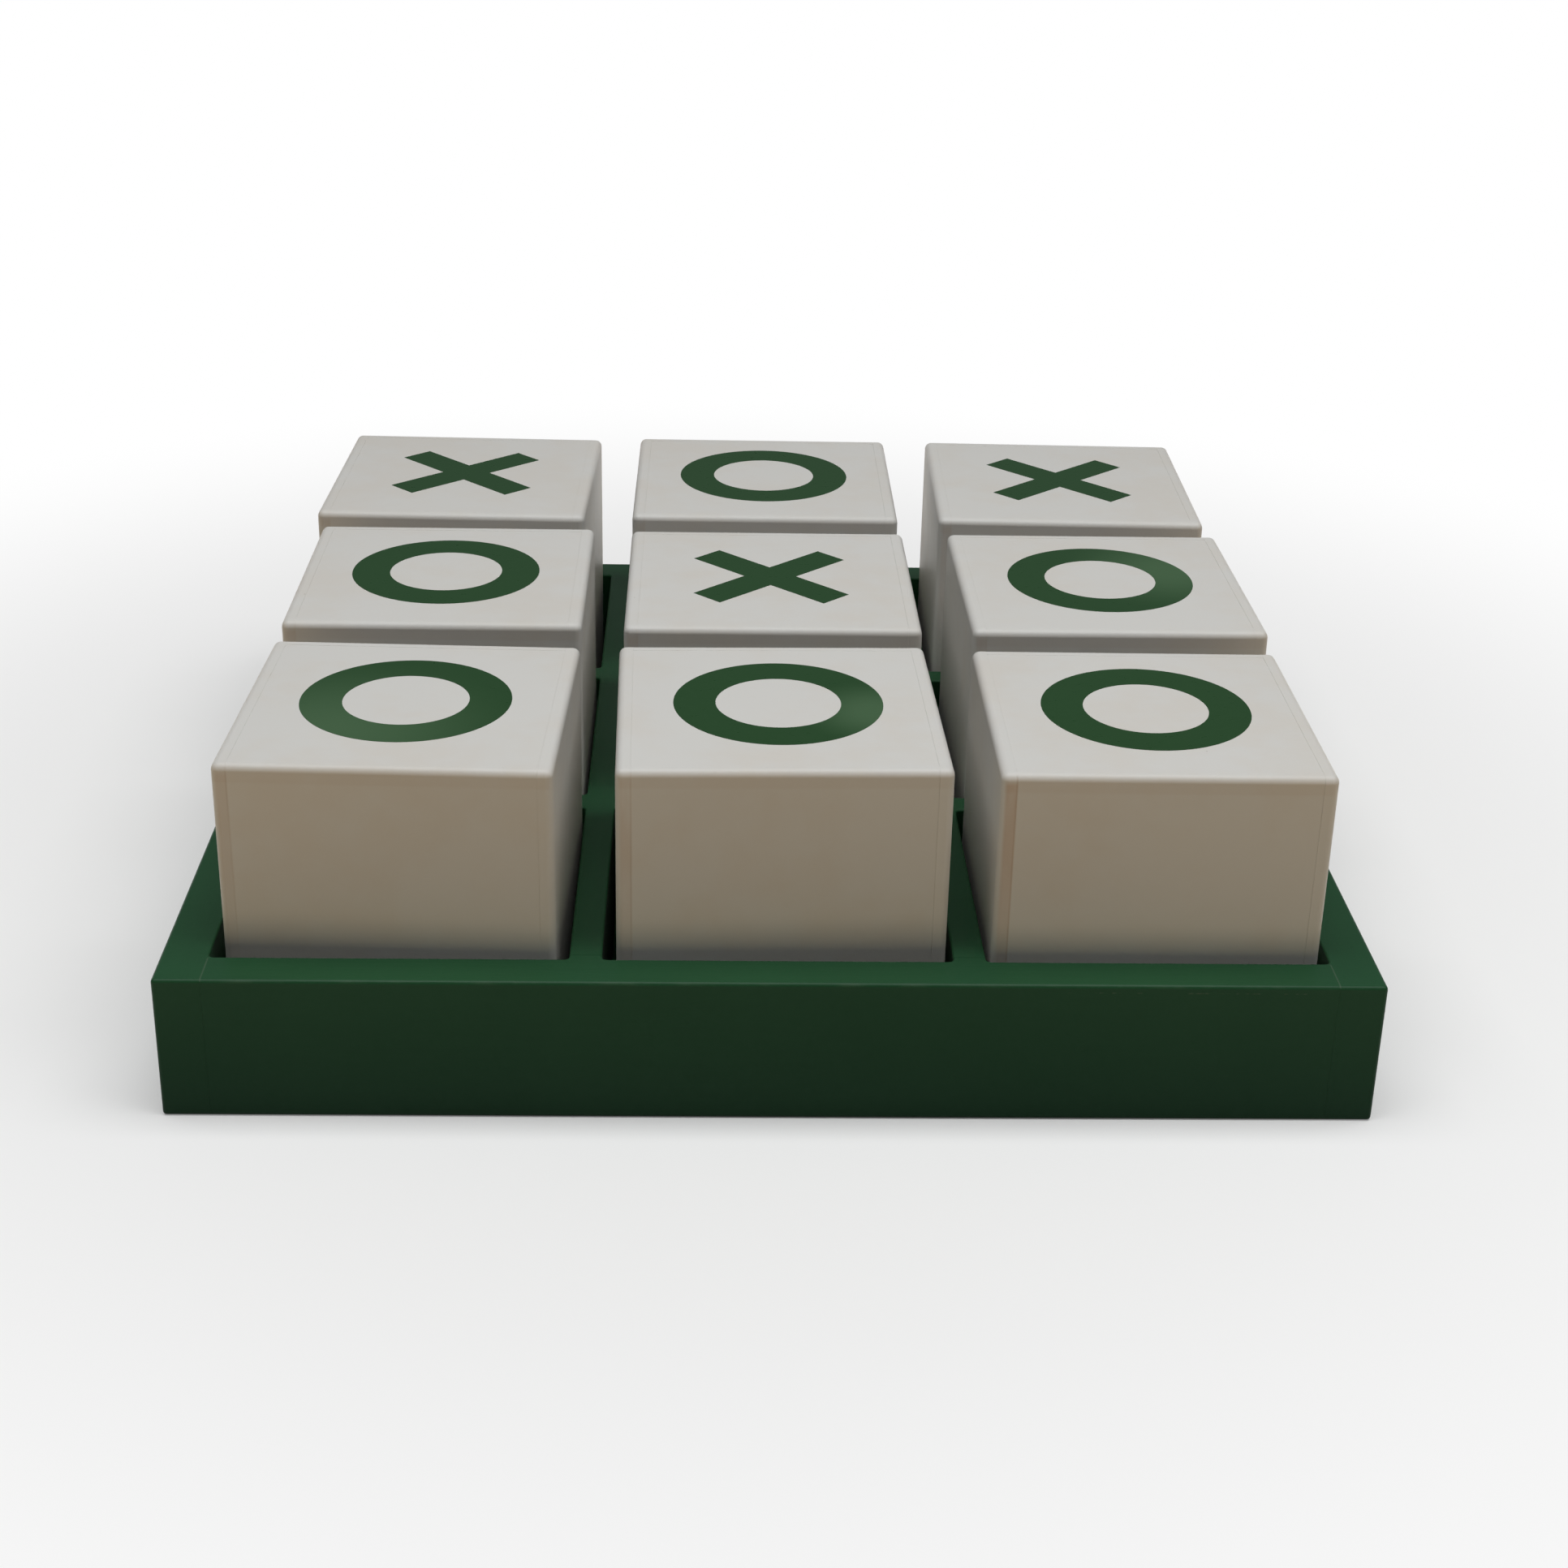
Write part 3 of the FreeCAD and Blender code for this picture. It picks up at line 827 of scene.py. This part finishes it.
def draw_cross(bm, sizes):
    """The flat face of an X: two crossed bars, turned an eighth of a turn."""
    bmesh.ops.create_grid(bm, x_segments=1, y_segments=1, size=sizes.bar_length / 2)
    half_width = sizes.bar_width / 2
    for axis in ALL_AXES[:2]:
        for side in (-1, 1):
            bmesh.ops.bisect_plane(bm, geom=everything(bm), plane_co=axis * side * half_width,
                                   plane_no=axis)
    corners = []
    for face in bm.faces:
        centre = face.calc_center_median()
        if min(abs(centre.x), abs(centre.y)) > half_width:
            corners.append(face)
    bmesh.ops.delete(bm, geom=corners, context="FACES")
    eighth_turn = Matrix.Rotation(QUARTER_TURN / 2, 3, "Z")
    bmesh.ops.rotate(bm, cent=(0, 0, 0), matrix=eighth_turn, verts=bm.verts[:])


def mark(sizes, draw, bottom):
    """One mark as a thin closed plate, with its lowest face at the given height."""
    bm = bmesh.new()
    draw(bm, sizes)
    bmesh.ops.translate(bm, verts=bm.verts[:], vec=(0, sizes.mark_shift, bottom))
    result = bmesh.ops.extrude_face_region(bm, geom=bm.faces[:])
    bmesh.ops.translate(bm, verts=moved_vertices(result), vec=(0, 0, sizes.mark_depth))
    bmesh.ops.recalc_face_normals(bm, faces=bm.faces[:])
    return bm


class TICTACTOE_OT_block_marks(bpy.types.Operator):
    """Builds the mark on each block's top and the other mark on its underside"""

    bl_idname = "tic_tac_toe.block_marks"
    bl_label = "Build the blocks' marks"

    def execute(self, context):
        sizes = context.scene.tic_tac_toe_block
        material = mark_paint()
        for block in BLOCKS:
            draws = [draw_ring, draw_cross]
            if block in CROSS_ON_TOP:
                draws.reverse()
            both = bmesh.new()
            for draw, bottom in zip(draws, (BLOCK_HEIGHT - sizes.mark_depth, 0.0)):
                add_part(both, mark(sizes, draw, bottom))
            block_piece(block, "marks", both, material)
        return {"FINISHED"}


# The stage


def area_light(name, size, power, tint, place):
    """A rectangular softbox."""
    light = bpy.data.lights.new(name, "AREA")
    light.shape = "RECTANGLE"
    light.size, light.size_y = size
    light.energy = power
    light.color = tint
    lamp = bpy.data.objects.new(name, light)
    lamp.matrix_world = place
    bpy.context.scene.collection.objects.link(lamp)
    return lamp


class TICTACTOE_OT_stage(bpy.types.Operator):
    """Sets up a plain pale floor, soft lights and the camera"""

    bl_idname = "tic_tac_toe.stage"
    bl_label = "Set up the stage"

    def execute(self, context):
        scene = context.scene
        settings = scene.tic_tac_toe_stage
        bm = bmesh.new()
        bmesh.ops.create_grid(bm, x_segments=1, y_segments=1, size=settings.floor_size / 2,
                              matrix=Matrix.Translation((0, 0, CAD_LOW.z)))
        mesh = bpy.data.meshes.new("floor")
        bm.to_mesh(mesh)
        bm.free()
        floor = bpy.data.objects.new("floor", mesh)
        scene.collection.objects.link(floor)
        finish = Finish("floor_paint")
        paint = finish.node("ShaderNodeBsdfDiffuse", None, {"Color": rgba(settings.floor_colour)})
        glow = finish.node("ShaderNodeEmission", None, {"Color": WHITE})
        length_of = {"operation": "LENGTH"}
        distance = finish.node("ShaderNodeVectorMath", length_of, {0: finish.place()}, output="Value")
        pale = finish.rise(distance, settings.glow_start, settings.glow_end)
        shader = finish.node("ShaderNodeMixShader", None, {0: pale, 1: paint, 2: glow})
        finish.node("ShaderNodeOutputMaterial", None, {"Surface": shader})
        mesh.materials.append(finish.material)
        # The low lights shine up through the floor: it is seen and reflected, but it stops no light.
        floor.visible_diffuse = False
        floor.visible_shadow = False

        overhead = Matrix.Translation((settings.key_right, -settings.key_forward, settings.key_height))
        key_size = (settings.key_width, settings.key_depth)
        area_light("softbox", key_size, settings.key_power, settings.key_colour, overhead)
        face_up = Matrix.Rotation(2 * QUARTER_TURN, 4, "X")
        out = CAD_HIGH.y + settings.bounce_gap + settings.bounce_width / 2
        beside = Matrix.Translation((0, out, CAD_LOW.z - settings.bounce_drop)) @ face_up
        bounce_size = (settings.bounce_length, settings.bounce_width)
        for turn, side in enumerate(("back", "left", "front", "right")):
            place = Matrix.Rotation(turn * QUARTER_TURN, 4, "Z") @ beside
            bounce = area_light("table_bounce_" + side, bounce_size, settings.bounce_power,
                                settings.bounce_colour, place)
            bounce.visible_camera = False
            bounce.visible_glossy = False

        upright = Matrix.Rotation(-QUARTER_TURN, 4, "X")
        behind = Matrix.Translation((0, settings.panel_behind, settings.panel_height)) @ upright
        panel_size = (settings.panel_behind * 2, settings.panel_height * 2)
        panel = area_light("back_panel", panel_size, settings.panel_power, settings.key_colour, behind)
        panel.visible_camera = False

        world = bpy.data.worlds.new("pale_room")
        world.use_nodes = True
        world.node_tree.nodes["Background"].inputs["Color"].default_value = WHITE
        world.cycles_visibility.diffuse = False
        world.cycles_visibility.glossy = False
        scene.world = world
        scene.view_settings.view_transform = "Standard"

        camera = bpy.data.cameras.new("camera")
        camera.lens = settings.lens
        viewer = bpy.data.objects.new("camera", camera)
        scene.collection.objects.link(viewer)
        viewer.matrix_world = (Matrix.Translation(settings.camera_place)
                               @ Matrix.Rotation(settings.camera_yaw, 4, "Z")
                               @ Matrix.Rotation(QUARTER_TURN - settings.camera_pitch, 4, "X")
                               @ Matrix.Rotation(settings.camera_roll, 4, "Z"))
        scene.camera = viewer
        return {"FINISHED"}


BUILD_ORDER = ("rails", "dividers", "base_panel", "block_walls", "block_panels", "block_marks", "stage")


class TICTACTOE_PT_set(bpy.types.Panel):
    """Lists the build steps and the sizes and colours that they use"""

    bl_label = "Tic Tac Toe Set"
    bl_idname = "TICTACTOE_PT_set"
    bl_space_type = "VIEW_3D"
    bl_region_type = "UI"
    bl_category = "Tic Tac Toe"

    def draw(self, context):
        for step in BUILD_ORDER:
            self.layout.operator("tic_tac_toe." + step)
        for group in SETTINGS:
            box = self.layout.box()
            for name in SETTINGS[group].__annotations__:
                box.prop(getattr(context.scene, group), name)


SETTINGS = {
    "tic_tac_toe_tray": TraySizes,
    "tic_tac_toe_block": BlockSizes,
    "tic_tac_toe_colours": FinishColours,
    "tic_tac_toe_stage": StageSettings,
}
CLASSES = (
    *SETTINGS.values(),
    TICTACTOE_OT_rails,
    TICTACTOE_OT_dividers,
    TICTACTOE_OT_base_panel,
    TICTACTOE_OT_block_walls,
    TICTACTOE_OT_block_panels,
    TICTACTOE_OT_block_marks,
    TICTACTOE_OT_stage,
    TICTACTOE_PT_set,
)


def register():
    """Makes the settings, operators and panel known."""
    for item in CLASSES:
        bpy.utils.register_class(item)
    for name, group in SETTINGS.items():
        setattr(bpy.types.Scene, name, PointerProperty(type=group))


def unregister():
    """Takes away what register added."""
    for name in SETTINGS:
        delattr(bpy.types.Scene, name)
    for item in reversed(CLASSES):
        bpy.utils.unregister_class(item)


def main():
    """Builds the set and its stage."""
    register()
    for step in BUILD_ORDER:
        getattr(bpy.ops.tic_tac_toe, step)()


if __name__ == "__main__":
    main()
